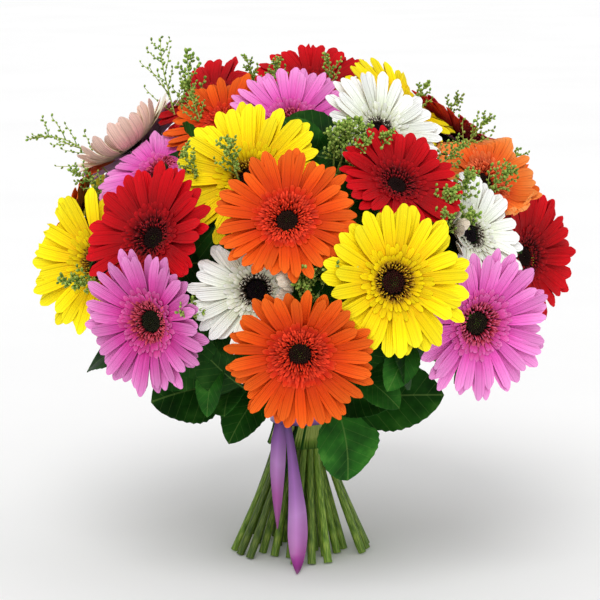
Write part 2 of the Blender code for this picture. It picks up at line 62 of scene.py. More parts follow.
# Blooms turned off the dome's own direction: azimuth, elevation, and their place where two meet
facing = {
    5: (26, -3, 7), 9: (-14, 30, 3), 11: (-28, 8, -7), 12: (48, 8, -4), 13: (62, 22, -6), 14: (44, 30, -3),
    15: (34, 34, 2), 16: (50, 52, 0.5), 17: (2, 42, 1.5), 18: (-34, 50, 1), 19: (0, 56, 0.3),
    20: (-40, 54, 0.2),
}
liesOver = {10: -2.5}  # a bloom whose petals show over its neighbours'

# How a bloom's petals stand, and how the ones under a neighbour bend away from it
bloomForm = {
    "rise": math.radians(22), "droop": 170.0, "cup": 8.0, "underside": 0.7, "near": 25.0,
    "clearance": 2.2, "pastRim": 2.0, "rimSlope": 0.9, "steepest": 0.5, "heart": 15.0, "fade": 8.0,
    "stemRoom": 13.0,
}


def unit(vector):
    return vector / np.linalg.norm(vector)


def direction(azimuth, elevation):
    a, e = math.radians(azimuth), math.radians(elevation)
    return np.array((math.sin(a) * math.cos(e), -math.cos(a) * math.cos(e), math.sin(e)))


def onDome(azimuth, elevation):
    ray = direction(azimuth, elevation)
    size = np.array((dome["radius"], dome["radius"], dome["rise"]))
    return ray * size + (0, 0, dome["base"]), unit(ray / size)


def placeAt(azimuth, distance, height):
    a = math.radians(azimuth)
    return np.array((distance * math.sin(a), -distance * math.cos(a), height))


def layOutBlooms():
    blooms = []
    for index, (colour, azimuth, elevation, lift, diameter) in enumerate(bloomRows):
        place, axis = onDome(azimuth, elevation)
        centre, order = place + axis * lift, lift
        if index + 1 in facing:
            towards, up, order = facing[index + 1]
            axis = direction(towards, up)
        order = liesOver.get(index + 1, order)
        side = unit(np.cross((0, 0, 1), axis))
        blooms.append({
            "name": f"bloom_{index + 1:02d}_{colour}", "index": index, "colour": colour,
            "azimuth": azimuth, "elevation": elevation, "rank": (order, -index),
            "radius": diameter / 2, "axis": axis, "centre": centre,
            "turned": np.stack((side, np.cross(axis, side), axis), axis=1),
        })
    for bloom in blooms:
        bloom["over"] = [
            other for other in blooms if other["rank"] > bloom["rank"] and
            np.linalg.norm(other["centre"] - bloom["centre"])
            < other["radius"] + bloom["radius"] + bloomForm["near"]]
    return blooms


def bowl(rho):
    return rho * math.tan(bloomForm["rise"]) - rho * rho / (2 * bloomForm["droop"])


def headroom(other, points):
    # How far points stand above what a bloom leaves free under its petals
    form = bloomForm
    local = (points - other["centre"]) @ other["turned"]
    rho = np.hypot(local[:, 0], local[:, 1])
    share = (np.minimum(rho, other["radius"]) - form["cup"]) / (other["radius"] - form["cup"])
    under = -form["underside"] + share * (bowl(other["radius"]) + form["underside"])
    outside = np.maximum(0, rho - other["radius"] - form["pastRim"])
    return local[:, 2] - (under - form["clearance"] + form["rimSlope"] * outside)


def pressed(bloom, local):
    # Points in a bloom's own directions, placed, and bent down clear of the blooms that lie over it
    form = bloomForm
    points = bloom["centre"] + local @ bloom["turned"].T
    soft = np.clip((np.hypot(local[:, 0], local[:, 1]) - form["heart"]) / form["fade"], 0, 1)
    for _ in range(2):
        for other in bloom["over"]:
            push = np.maximum(0, headroom(other, points)) * soft
            push /= max(form["steepest"], bloom["axis"] @ other["axis"])
            points = points - bloom["axis"] * push[:, None]
            inside = (points - other["centre"]) @ other["turned"]
            rho = np.hypot(inside[:, 0], inside[:, 1])
            short = np.maximum(0, form["stemRoom"] - rho) / np.maximum(rho, 0.1) * (push > 0)
            aside = np.stack((inside[:, 0] * short, inside[:, 1] * short, 0 * rho), axis=1)
            points = points + aside @ other["turned"].T
    return points


# ---- materials are built from a few short helpers

def rgb(text):
    parts = [int(text[i:i + 2], 16) / 255 for i in (1, 3, 5)]
    return (*[c / 12.92 if c <= 0.04045 else ((c + 0.055) / 1.055) ** 2.4 for c in parts], 1)


def newMaterial(name, sockets):
    material = bpy.data.materials.new(name)
    material.use_nodes = True
    shader = material.node_tree.nodes["Principled BSDF"]
    for socket, value in sockets.items():
        shader.inputs[socket].default_value = value
    return material


def addNode(material, kind, inputs=None, **settings):
    node = material.node_tree.nodes.new("ShaderNode" + kind)
    for name, value in settings.items():
        setattr(node, name, value)
    for key, value in (inputs or {}).items():
        if isinstance(value, bpy.types.NodeSocket):
            material.node_tree.links.new(value, node.inputs[key])
        else:
            node.inputs[key].default_value = value
    return node


def mathNode(material, operation, *values):
    return addNode(material, "Math", dict(enumerate(values)), operation=operation).outputs[0]


def rampNode(material, factor, stops):
    node = addNode(material, "ValToRGB", {"Fac": factor})
    ramp = node.color_ramp
    while len(ramp.elements) < len(stops):
        ramp.elements.new(0.5)
    for element, (place, colour) in zip(ramp.elements, stops):
        element.position = place
        element.color = rgb(colour) if isinstance(colour, str) else (colour, colour, colour, 1)
    return node.outputs["Color"]


def mixNode(material, factor, first, second):
    # A Mix node's sockets for colours are 6 and 7, and it gives the mixed one at 2
    return addNode(material, "Mix", {0: factor, 6: first, 7: second}, data_type="RGBA").outputs[2]


def plug(material, socket, value):
    material.node_tree.links.new(value, material.node_tree.nodes["Principled BSDF"].inputs[socket])


def bumpNode(material, height, look):
    inputs = {"Height": height, "Strength": look["bump"], "Distance": look["depth"] * mm}
    plug(material, "Normal", addNode(material, "Bump", inputs).outputs["Normal"])


def placeOf(material):
    # A copy's own directions: across it and along it, each from 0 to 1, and its own tone
    spot = addNode(material, "UVMap", uv_map="place")
    axes = addNode(material, "SeparateXYZ", {"Vector": spot.outputs["UV"]})
    tone = addNode(material, "Attribute", attribute_name="tone")
    return axes.outputs["X"], axes.outputs["Y"], tone.outputs["Fac"]


def noiseNode(material, scale, detail=3.0):
    place = addNode(material, "TexCoord").outputs["Object"]
    noise = addNode(material, "TexNoise", {"Vector": place, "Scale": scale, "Detail": detail})
    return noise.outputs["Fac"]


def toned(material, colour, value):
    return addNode(material, "HueSaturation", {"Color": colour, "Value": value}).outputs["Color"]


def finished(material, look, colour, value, height):
    plug(material, "Base Color", toned(material, colour, value))
    bumpNode(material, height, look)
    return material


petalLook = {
    "sockets": {"Roughness": 0.6, "Specular IOR Level": 0.12}, "tones": (0.84, 1.1), "patchSize": 90.0,
    # The petals' edges are made lighter as painted light, while their veins are their own marks
    "patches": 0.25, "veins": 7.0, "veinDark": 0.04, "depth": 0.3, "bump": 0.5, "edgePaintedLight": 0.16,
    "backShare": 0.8,
    # The grooves are darkened as painted shade
    "grooveAt": 0.25, "grooveWide": 0.07, "groovePaintedShade": 0.24, "tip": 0.95,
}
grainLook = {"shine": 0.12, "darkest": 0.7, "range": 0.6, "size": 900.0, "bump": 0.4, "depth": 0.2}

# From root to tip: the petals' first two places and colours, their undersides, the short petals,
# the bristles' middle place and colours, and the eye
kindRows = {
    "orange": ((0.15, 0.5), "#c82a04 #de4a06 #ea6416", "#e8842c", "#8c1408 #d82c0c #ec4c1c",
        0.45, "#2c0604 #b0200a #e84020", "#080202 #241008"),
    "salmon": ((0.15, 0.5), "#e84c14 #f47428 #fa9448", "#f09c58", "#a82c10 #f06830 #f88448",
        0.45, "#3a0c04 #c83c14 #f47848", "#080202 #241008"),
    "yellow": ((0.12, 0.45), "#f4bc00 #fcdc00 #fff01c", "#e8d848", "#c89400 #f4d000 #fce800",
        0.5, "#200c04 #7a4a08 #dcb81c", "#0a0302 #300c08"),
    "white": ((0.12, 0.4), "#dce4c4 #f2f6ea #ffffff", "#e4d0b4", "#c0c898 #ecf0dc #ffffff",
        0.55, "#0c080a #4c4034 #fffce8", "#040204 #140a10"),
    "cream": ((0.12, 0.4), "#e4dca0 #f4ecc8 #fffaec", "#e8bcae", "#c0b888 #ece4bc #fff4dc",
        0.55, "#0c080a #4c4034 #fffce8", "#040204 #140a10"),
    "pink": ((0.15, 0.4), "#d83ca4 #ea6cc4 #f49cdc", "#f0a8dc", "#b01c70 #e050a4 #ec80c4",
        0.45, "#200c04 #9c2038 #e0648c", "#050503 #241a10"),
    "magenta": ((0.15, 0.4), "#c01c80 #d050a4 #e08cc8", "#d8a4c8", "#980c58 #d03c8c #e070b0",
        0.45, "#200c04 #942030 #d85870", "#050503 #1c1c0c"),
    # The red's underside colour is paler than its petals partly as its own colour and partly as painted
    # light, so that undersides lying in shade look lighter
    "red": ((0.15, 0.5), "#8c0008 #b4000c #d20616", "#d23a44", "#3c0004 #940008 #c40c18",
            0.5, "#100002 #480406 #a4141e", "#060202 #1c0806"),
}


def petalMaterial(name, stops, under):
    look = petalLook
    material = newMaterial(name, look["sockets"])
    calc = partial(mathNode, material)
    across, along, tone = placeOf(material)
    spread = look["patches"]
    patches = calc("MULTIPLY_ADD", noiseNode(material, look["patchSize"]), spread, -spread / 2)
    base = rampNode(material, calc("ADD", along, patches), stops)
    away = calc("ABSOLUTE", calc("SUBTRACT", across, 0.5))
    # Painted shade: a mask along the petal's two grooves, which darkens the colour there and also sinks the
    # bump
    fromGroove = calc("ABSOLUTE", calc("SUBTRACT", away, look["grooveAt"]))
    groove = calc("MAXIMUM", calc("SUBTRACT", 1.0, calc("DIVIDE", fromGroove, look["grooveWide"])), 0.0)
    wave = calc("SINE", calc("MULTIPLY", across, look["veins"] * 2 * math.pi))
    low, high = look["tones"]
    value = calc("MULTIPLY_ADD", tone, high - low, low)
    # Fine veins darken the petal a little, the two grooves take painted shade and the edges painted light
    for share, change in ((wave, look["veinDark"]), (groove, -look["groovePaintedShade"]), (away, look["edgePaintedLight"])):
        value = calc("MULTIPLY", value, calc("MULTIPLY_ADD", share, change, 1.0))
    back = addNode(material, "Attribute", attribute_name="under").outputs["Fac"]
    sided = mixNode(material, calc("MULTIPLY", back, look["backShare"]), base, rgb(under))
    return finished(material, look, sided, value, calc("MULTIPLY_ADD", groove, -1.0, wave))


def grainMaterial(name, stops, roughness):
    # Small dense things, each with a colour along it and a tone of its own
    look = grainLook
    material = newMaterial(name, {"Roughness": roughness, "Specular IOR Level": look["shine"]})
    _, along, tone = placeOf(material)
    value = mathNode(material, "MULTIPLY_ADD", tone, look["range"], look["darkest"])
    colour, grain = rampNode(material, along, stops), noiseNode(material, look["size"])
    return finished(material, look, colour, value, grain)


def stopsOf(places, colours):
    return list(zip(places, colours.split()))


def bloomMaterials():
    found = {}
    for kind, ((first, second), petal, under, short, middle, bristle, eye) in kindRows.items():
        found[kind] = [
            petalMaterial("petal_" + kind, stopsOf((first, second, petalLook["tip"]), petal), under),
            petalMaterial("floret_" + kind, stopsOf((0, 0.5, 1), short), under),
            grainMaterial("bristle_" + kind, stopsOf((0, middle, 1), bristle), 0.6),
            grainMaterial("eye_" + kind, stopsOf((0, 1), eye), 0.75)]
    return found


# ---- masters, modelled once each

def deselectAll():
    bpy.ops.object.select_all(action="DESELECT")


def beginEdit():
    bpy.ops.object.mode_set(mode="EDIT")
    bpy.ops.mesh.select_all(action="SELECT")
    return bpy.context.object


def selectWhere(obj, test):
    mesh = bmesh.from_edit_mesh(obj.data)
    for vert in mesh.verts:
        vert.select_set(test(vert.co))
    mesh.select_flush_mode()
    bmesh.update_edit_mesh(obj.data)


def masterFrom(obj, along):
    # The finished master as plain arrays; it gives the copies their own meshes
    bpy.ops.object.mode_set(mode="OBJECT")
    mesh = obj.data
    points = np.array([v.co for v in mesh.vertices])
    faces = [tuple(p.vertices) for p in mesh.polygons]
    spot = np.stack((points[:, 0] / 2 + 0.5, along(points)), axis=1)
    bpy.data.objects.remove(obj, do_unlink=True)
    return {"points": points, "faces": faces, "place": np.clip(spot, 0, 1),
            "under": (points[:, 2] < 0) * 1.0}


narrowest = 0.004  # of a blade's full width, so that its end stays a closed edge


def sheetMaster(columns, rows, outline, tipBack=()):
    # A blade one unit long and one to each side, narrowed row by row to its outline
    deselectAll()
    bpy.ops.mesh.primitive_grid_add(x_subdivisions=columns, y_subdivisions=rows, size=2, location=(0, 0, 0))
    obj = beginEdit()
    bpy.ops.transform.resize(value=(1, 0.5, 1), center_override=(0, 0, 0))
    bpy.ops.transform.translate(value=(0, 0.5, 0))
    for row, width in enumerate(outline):
        selectWhere(obj, lambda co: abs(co.y - row / rows) < 0.3 / rows)
        bpy.ops.transform.resize(value=(max(width, narrowest), 1, 1), center_override=(0, 0, 0))
    for column, back in enumerate(tipBack):
        place = outline[-1] * (2 * column / columns - 1)
        selectWhere(obj, lambda co: co.y > 0.999 and abs(co.x - place) < 0.5 * outline[-1] / columns)
        if back:
            bpy.ops.transform.translate(value=(0, -back, 0))
    bpy.ops.object.mode_set(mode="OBJECT")
    wall = obj.modifiers.new("thickness", "SOLIDIFY")
    wall.thickness = 1.0
    wall.offset = 0.0
    bpy.ops.object.modifier_apply(modifier=wall.name)
    return masterFrom(obj, lambda p: p[:, 1])


def turnedMaster(form, along):
    # A closed solid of rings up Z, extruded step by step from the first one
    deselectAll()
    bpy.ops.mesh.primitive_circle_add(vertices=form["sides"], radius=form["radius"], fill_type="NGON",
                                      location=(0, 0, form["base"]))
    obj = beginEdit()
    for rise, size in form["steps"]:
        bpy.ops.mesh.extrude_region_move(TRANSFORM_OT_translate={"value": (0, 0, rise)})
        bpy.ops.transform.resize(value=(size, size, 1))
    bpy.ops.mesh.select_all(action="SELECT")
    bpy.ops.mesh.normals_make_consistent(inside=False)
    return masterFrom(obj, along)


def budMaster():
    deselectAll()
    bpy.ops.mesh.primitive_ico_sphere_add(subdivisions=1, radius=1, location=(0, 0, 0))
    obj = beginEdit()
    selectWhere(obj, lambda co: co.z > 0.5)
    bpy.ops.transform.resize(value=(0.8, 0.8, 1))
    return masterFrom(obj, lambda p: p[:, 2] / 2 + 0.5)


def newStore():
    return {"points": [], "faces": [], "place": [], "tone": [], "under": [], "finish": [], "count": 0}


def addCopies(store, master, points, tones, finish):
    # points has one block of the master's vertices for each copy
    size = len(master["points"])
    for block, tone in zip(points, tones):
        store["points"].append(block)
        store["faces"] += [tuple(i + store["count"] for i in face) for face in master["faces"]]
        store["place"].append(master["place"])
        store["tone"].append(np.full(size, tone))
        store["under"].append(master.get("under", np.zeros(size)))
        store["finish"] += [finish] * len(master["faces"])
        store["count"] += size


def storedPiece(store, name, materials, node=None):
    mesh = bpy.data.meshes.new(name)
    points = np.concatenate(store["points"]) * mm
    mesh.from_pydata(points.tolist(), [], store["faces"])
    for material in materials:
        mesh.materials.append(material)
    mesh.polygons.foreach_set("material_index", store["finish"])
    place = np.concatenate(store["place"])
    corners = np.zeros(len(mesh.loops), np.int32)
    mesh.loops.foreach_get("vertex_index", corners)
    mesh.uv_layers.new(name="place").data.foreach_set("uv", place[corners].astype(np.float32).ravel())
    for kind in ("tone", "under"):
        values = mesh.attributes.new(kind, "FLOAT", "POINT")
        values.data.foreach_set("value", np.concatenate(store[kind]).astype(np.float32))
    mesh.validate()
    piece = bpy.data.objects.new(name, mesh)
    bpy.context.scene.collection.objects.link(piece)
    deselectAll()
    piece.select_set(True)
    bpy.context.view_layer.objects.active = piece
    bpy.ops.object.shade_smooth_by_angle(angle=math.radians(50))
    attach(piece, "root")
    if node:
        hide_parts(node)
    return piece


# ---- blooms

petalForm = {
    "columns": 4, "rows": 5, "spread": (0, 0.25, 0.5, 0.7, 0.87, 1.0),
    "outline": (0.42, 0.72, 0.95, 1.0, 0.92, 0.58), "tipBack": (0.09, 0.02, 0.0, 0.02, 0.09),
    "thick": 0.5, "trough": 0.2, "groove": 0.5,
    "layers": [
        {"root": 0.24, "tip": 1.02, "width": 1.0, "lift": -1.4, "shift": 0.5},
        {"root": 0.24, "tip": 0.98, "width": 0.95, "lift": 1.2, "shift": 0.0},
    ],
    # how many petals a layer has, and how wide they are on a bloom of the plain radius
    "petals": {"orange": (24, 9.6), "yellow": (19, 11.4), "white": (19, 11.4), "magenta": (24, 9.4),
               "red": (21, 10.6)},
    "plainRadius": 57, "widths": (0.88, 1.1), "grooveWide": 0.2, "curlFrom": 0.45,
    "shorter": 0.15, "turnJitter": 0.24, "twist": 0.24, "sway": 3.0, "curl": (-2.6, 3.2),
}
floretForm = {
    "columns": 2, "rows": 3, "spread": (0, 0.45, 0.85, 1.0), "outline": (0.5, 0.9, 0.9, 0.4),
    "tipBack": (0.05, 0.0, 0.05), "thick": 0.5, "trough": 0.25, "groove": 0.25,
}
bristleForm = {
    "turnJitter": 0.4, "rootJitter": 0.015, "tipJitter": 0.03, "stand": (0.7, 1.15), "lean": 1.2,
    "outPower": 1.6, "bend": 2.2, "wide": 0.8, "deep": 0.6, "sunk": 0.4,
    "sides": 4, "radius": 1, "base": 0, "steps": ((0.35, 1.1), (0.35, 0.9), (0.3, 0.5)),
}
# The closed disc that the florets grow from, in shares of the bloom's radius
discForm = {
    "sides": 24, "radius": 0.02, "base": 0.16, "flat": 0.5, "sunk": 0.08,
    "steps": ((-0.02, 4.5), (-0.04, 2.2), (-0.01, 1.6), (-0.02, 1.1), (-0.06, 0.9), (-0.05, 0.5), (0, 0.2)),
}
heartForm = {
    # count, root, tip, width, lift of the short petals between the long ones and the bristles
    "short": {
        "orange": [(32, 0.3, 0.5, 4.2, 1.8)],
        "yellow": [(32, 0.26, 0.5, 4.2, 1.8), (40, 0.23, 0.38, 2.8, 2.6)],
        "white": [(30, 0.24, 0.48, 4.2, 1.8), (38, 0.22, 0.37, 2.6, 2.8)],
        "magenta": [(32, 0.26, 0.48, 4.2, 1.8), (40, 0.24, 0.4, 2.8, 2.8)],
        "red": [(32, 0.26, 0.47, 4.2, 1.8), (36, 0.24, 0.39, 2.8, 2.6)]},
    # count, root, tip, thickness, how far the tip stands up
    "rings": {
        "orange": [(54, 0.31, 0.41, 0.95, 2.8), (54, 0.28, 0.37, 0.9, 3.0), (50, 0.25, 0.32, 0.85, 3.1),
                   (46, 0.22, 0.28, 0.75, 3.0), (42, 0.18, 0.24, 0.65, 2.8), (36, 0.15, 0.19, 0.55, 2.2)],
        "yellow": [(54, 0.25, 0.32, 0.6, 2.6), (52, 0.22, 0.28, 0.6, 2.8), (46, 0.19, 0.24, 0.55, 2.8),
                   (40, 0.16, 0.2, 0.5, 2.4)],
        "white": [(52, 0.23, 0.32, 0.6, 3.0), (50, 0.2, 0.27, 0.55, 3.2), (44, 0.17, 0.22, 0.5, 2.8)],
        "magenta": [(54, 0.27, 0.36, 0.8, 3.0), (52, 0.23, 0.31, 0.75, 3.2), (48, 0.2, 0.26, 0.65, 3.2),
                    (42, 0.16, 0.21, 0.6, 2.6)],
        "red": [(54, 0.28, 0.38, 0.8, 3.0), (52, 0.24, 0.32, 0.75, 3.2), (46, 0.19, 0.26, 0.65, 3.0),
                (40, 0.15, 0.2, 0.6, 2.4)]},
    "eye": 0.14, "eyeRise": 1.8, "buds": 90, "bud": 0.95,
}
# Blooms whose tint differs from their colour's own, by number
tints = {5: "pink", 14: "salmon", 17: "pink", 21: "pink", 22: "cream"}
# Petals that roll up over the heart: the middle of their range, half of it, the furthest roll
rolled = {3: (5, 45, 150), 10: (150, 60, 95), 14: (-80, 60, 110), 15: (-90, 50, 105), 17: (-90, 50, 105),
          22: (0, 100, 100)}
rollForm = {"start": 0.2, "full": 0.5, "vary": (0.65, 1.0), "least": 0.05}


def rollOf(bloom, turn, rng):
    # How far each petal rolls up, in radians
    if bloom["index"] + 1 not in rolled:
        return np.zeros(len(turn))
    middle, half, most = np.radians(rolled[bloom["index"] + 1])
    away = np.abs((turn - middle + math.pi) % (2 * math.pi) - math.pi)
    share = np.clip((half - away) / (rollForm["full"] * half), 0, 1)
    return most * share * rng.uniform(*rollForm["vary"], len(turn))


def rollUp(rho, over, start, reach, roll):
    # Leaves the bowl at start and goes on round an arc; over is what stands off the petal's middle
    arc = (reach - start) / roll
    lean = math.atan(math.tan(bloomForm["rise"]) - start / bloomForm["droop"])
    flat = np.minimum(rho, start)
    bent = np.maximum(0, rho - start) / arc
    tilt = bent * (1 + lean / roll)
    out = flat + arc * (np.sin(lean + bent) - math.sin(lean)) - over * np.sin(tilt)
    return out, bowl(flat) + arc * (math.cos(lean) - np.cos(lean + bent)) + over * np.cos(tilt)


def setRound(turn, rho, side, height):
    # Points this far out, aside and up, turned to their place round the middle
    return np.stack((rho * math.cos(turn) - side * math.sin(turn),
                     rho * math.sin(turn) + side * math.cos(turn), height), axis=1)


def bladeRing(bloom, master, ring, rng, shape):
    # Copies of a blade round the bloom, each with a length, turn, twist and curl of its own
    form = petalForm
    radius, count = bloom["radius"], ring["count"]
    x, along, t = master["points"].T
    s = np.interp(along, np.linspace(0, 1, shape["rows"] + 1), shape["spread"])
    turn = np.arange(count) + ring["shift"] + form["turnJitter"] * rng.uniform(-1, 1, count)
    turn = turn * 2 * math.pi / count
    free = ring.get("free", 1)
    reach = radius * ring["tip"] * (1 - form["shorter"] * rng.random(count) ** 1.5)
    root = ring["root"] * radius
    half = ring["width"] / 2 * radius / form["plainRadius"] * rng.uniform(*form["widths"], count)
    twist = form["twist"] * rng.uniform(-1, 1, count)
    sway = form["sway"] * rng.uniform(-1, 1, count) * free
    curl = rng.uniform(*form["curl"], count) * free
    roll = rollOf(bloom, turn, rng) * (free == 1)
    blocks = []
    for i in range(count):
        rho = root + (reach[i] - root) * s
        side = half[i] * x
        over = ring["lift"] * np.minimum(1, s * 4) + t * shape["thick"]
        over += shape["trough"] * np.abs(side)
        groove = np.exp(-((np.abs(x) - 0.5) / form["grooveWide"]) ** 2)
        over -= shape["groove"] * groove * np.sin(math.pi * s)
        curled = np.clip((s - form["curlFrom"]) / (1 - form["curlFrom"]), 0, 1) ** 2
        over += twist[i] * side * s + curl[i] * curled
        if roll[i] > rollForm["least"]:
            start = root + rollForm["start"] * (reach[i] - root)
            rho, height = rollUp(rho, over, start, reach[i], roll[i])
        else:
            height = bowl(rho) + over
        blocks.append(pressed(bloom, setRound(turn[i], rho, side + sway[i] * s ** 2, height)))
    return blocks


def bristleRing(bloom, master, row, rng):
    count, root, tip, thick, stand = row
    form, radius = bristleForm, bloom["radius"]
    x, y, s = master["points"].T
    blocks = []
    for i in range(count):
        turn = (i + rng.uniform(-form["turnJitter"], form["turnJitter"])) * 2 * math.pi / count
        start = radius * (root + rng.uniform(-form["rootJitter"], form["rootJitter"]))
        end = radius * (tip + rng.uniform(-form["tipJitter"], form["tipJitter"]))
        rise = stand * rng.uniform(*form["stand"])
        lean = rng.uniform(-form["lean"], form["lean"])
        rho = start + (end - start) * s ** form["outPower"] + y * thick * form["wide"]
        height = bowl(rho) + rise * np.sin(s * form["bend"]) - y * thick * form["deep"] - form["sunk"]
        blocks.append(pressed(bloom, setRound(turn, rho, x * thick + lean * s ** 2, height)))
    return blocks


def eyeBuds(bloom, master, rng):
    form = heartForm
    blocks, tones = [], []
    for i in range(form["buds"]):
        share = math.sqrt((i + 0.5) / form["buds"])
        rho = share * form["eye"] * bloom["radius"]
        turn = i * math.radians(goldenTurn)
        size = form["bud"] * (0.8 + 0.35 * share) * rng.uniform(0.85, 1.15)
        middle = np.array((rho * math.cos(turn), rho * math.sin(turn),
                           bowl(rho) + form["eyeRise"] * (1 - 0.75 * share ** 2)))
        blocks.append(pressed(bloom, middle + master["points"] * (size, size, size * 1.3)))
        tones.append(rng.random())
    return blocks, tones


def makeBlooms(blooms):
    petal, floret = [
        sheetMaster(f["columns"], f["rows"], f["outline"], f["tipBack"]) for f in (petalForm, floretForm)]
    bristle = turnedMaster(bristleForm, lambda p: p[:, 2])
    bud, disc = budMaster(), turnedMaster(discForm, lambda p: 0 * p[:, 2])
    materials = bloomMaterials()
    for bloom in blooms:
        colour, number, size = bloom["colour"], bloom["index"] + 1, bloom["radius"]
        rng = np.random.default_rng(bloom["index"])
        store = newStore()
        count, width = petalForm["petals"][colour]
        for layer in petalForm["layers"]:
            ring = {**layer, "count": count, "width": width * layer["width"]}
            blocks = bladeRing(bloom, petal, ring, rng, petalForm)
            addCopies(store, petal, blocks, rng.random(len(blocks)), 0)
        for row in heartForm["short"][colour]:
            ring = dict(zip(("count", "root", "tip", "width", "lift"), row), shift=0.25, free=0.35)
            blocks = bladeRing(bloom, floret, ring, rng, floretForm)
            addCopies(store, floret, blocks, rng.random(len(blocks)), 1)
        for row in heartForm["rings"][colour]:
            blocks = bristleRing(bloom, bristle, row, rng)
            addCopies(store, bristle, blocks, rng.random(len(blocks)), 2)
        blocks, tones = eyeBuds(bloom, bud, rng)
        addCopies(store, bud, blocks, tones, 3)
        level = disc["points"] * (size, size, size * discForm["flat"])
        bowlHere = bowl(np.hypot(level[:, 0], level[:, 1])) - discForm["sunk"] * size
        level[:, 2] += np.where(disc["points"][:, 2] > 0.05, bowlHere, -1)
        addCopies(store, disc, [pressed(bloom, level)], [0.3], 3)
        storedPiece(store, "head_" + bloom["name"][6:], materials[tints.get(number, colour)],
                    bloom["name"])
    print("blooms made:", len(blooms))


# ---- stems

stemForm = {
    "heights": (0, 70, 120), "widths": (7.2, 5.6, 5.0), "top": 4.6, "cupDepth": 9.0, "seat": 0.3,
    "neckHeight": 120.0,
    "waist": 36.5, "twist": math.radians(-30), "ringStep": 5.6, "close": 4.2, "headingStep": 5.0,
    "leave": 24.0, "pull": 0.9, "sides": 12, "ribs": 0.03, "steps": (22, 13),
    # the green cup: share of its depth below the bloom, and radius there
    "cup": ((0.7, 4.0), (0.45, 5.6), (0.2, 6.9), (0.0, 7.4)),
    "rings": [(1,), (3, 3), (3, 3, 3, 3), (3, 3, 3, 3, 2)],
}


def inBunch(radius, angle, height):
    form = stemForm
    rise = (height - form["neckHeight"]) / form["waist"]
    spread = radius * math.sqrt(1 + rise * rise)
    turn = angle - form["twist"] * math.atan(rise) / math.atan(form["neckHeight"] / form["waist"])
    return np.array((spread * math.sin(turn), -spread * math.cos(turn), height))


def slotsOf(ring, groups):
    radius = stemForm["ringStep"] * ring
    if ring == 0:
        return [(0, 0.0, 0.0)]
    step = 2 * math.asin(stemForm["close"] / 2 / radius)
    found = []
    for group, count in enumerate(groups):
        middle = 2 * math.pi * group / len(groups)
        found += [(group, radius, middle + (place - (count - 1) / 2) * step) for place in range(count)]
    return found


def assignSlots(blooms):
    # The highest blooms take the inner rings, and each ring turns to suit its own
    waiting = sorted(blooms, key=lambda b: -b["elevation"])
    groups = {}
    for ring, sizes in enumerate(stemForm["rings"]):
        slots = slotsOf(ring, sizes)
        members = sorted(waiting[:len(slots)], key=lambda b: b["azimuth"] % 360)
        waiting = waiting[len(slots):]
        tries = []
        for shift in range(len(slots)):
            pairs = [(b, slots[(i + shift) % len(slots)]) for i, b in enumerate(members)]
            offsets = [math.radians(b["azimuth"]) - s[2] for b, s in pairs]
            phase = math.atan2(sum(map(math.sin, offsets)), sum(map(math.cos, offsets)))
            miss = sum(math.atan2(math.sin(o - phase), math.cos(o - phase)) ** 2 for o in offsets)
            tries.append((miss, phase, pairs))
        _, phase, pairs = min(tries, key=lambda found: found[0])
        for bloom, (group, radius, angle) in pairs:
            groups.setdefault((ring, group), []).append((bloom, radius, angle + phase))
    return [groups[key] for key in sorted(groups)]


def runOf(path):
    return np.concatenate(([0], np.cumsum(np.linalg.norm(np.diff(path, axis=0), axis=1))))


def hermite(start, out, end, into, share):
    s, t = share, 1 - share
    return (start * (t * t * (1 + 2 * s)) + out * (s * t * t) + end * (s * s * (3 - 2 * s))
            - into * (s * s * t))


def sweep(path, widths, sides, wobble):
    # A closed tube along a path, with its place round it and along it in centimetres
    path, widths = np.array(path), np.array(widths)
    heading = np.gradient(path, axis=0)
    heading /= np.linalg.norm(heading, axis=1)[:, None]
    side = unit(np.cross(heading[0], (0.3, 0.2, 0.1)))
    run = runOf(path) / 10
    points, place = [], []
    around = np.arange(sides) * 2 * math.pi / sides
    for centre, ahead, width, along in zip(path, heading, widths, run):
        side = unit(side - ahead * (side @ ahead))
        up = np.cross(ahead, side)
        spread = width * (1 + wobble * np.cos(around * 5))
        ring = centre + np.outer(np.cos(around) * spread, side) + np.outer(np.sin(around) * spread, up)
        points.append(np.maximum(ring, (-math.inf, -math.inf, 0)))  # cut flat at the table
        place.append(np.stack((around / (2 * math.pi), np.full(sides, along)), axis=1))
    rings = len(path)
    faces = []
    for row in range(rings - 1):
        for k in range(sides):
            a, b = row * sides + k, row * sides + (k + 1) % sides
            faces.append((a, b, b + sides, a + sides))
    faces.append(tuple(reversed(range(sides))))
    faces.append(tuple(range((rings - 1) * sides, rings * sides)))
    return {"points": np.concatenate(points), "faces": faces, "place": np.concatenate(place)}


def addTube(store, path, widths, sides, tone, wobble=0.0):
    tube = sweep(path, widths, sides, wobble)
    addCopies(store, tube, [tube["points"]], [tone], 0)


def addTwig(store, path, width, sides):
    addTube(store, path, np.full(len(path), width / 2), sides, 0.4)


def pointAt(share, shares, path):
    return np.array([np.interp(share, shares, column) for column in path.T])


def roundAxis(axis, side, spin):
    return side * math.cos(spin) + np.cross(axis, side) * math.sin(spin)


def route(ring, angle, cut, steps, end, into, pull):
    # Up through the bunch in its spiral, then in a curve from where it leaves to its end
    form, (low, high) = stemForm, steps
    leave = form["neckHeight"] + form["leave"]
    path = [inBunch(ring, angle, height) for height in np.linspace(cut, leave, low)]
    start = path[-1]
    heading = unit(start - inBunch(ring, angle, leave - form["headingStep"]))
    reach = np.linalg.norm(end - start) * pull
    shares = np.linspace(0, 1, high)[1:]
    return path + [hermite(start, heading * reach, end, into * reach, share) for share in shares]


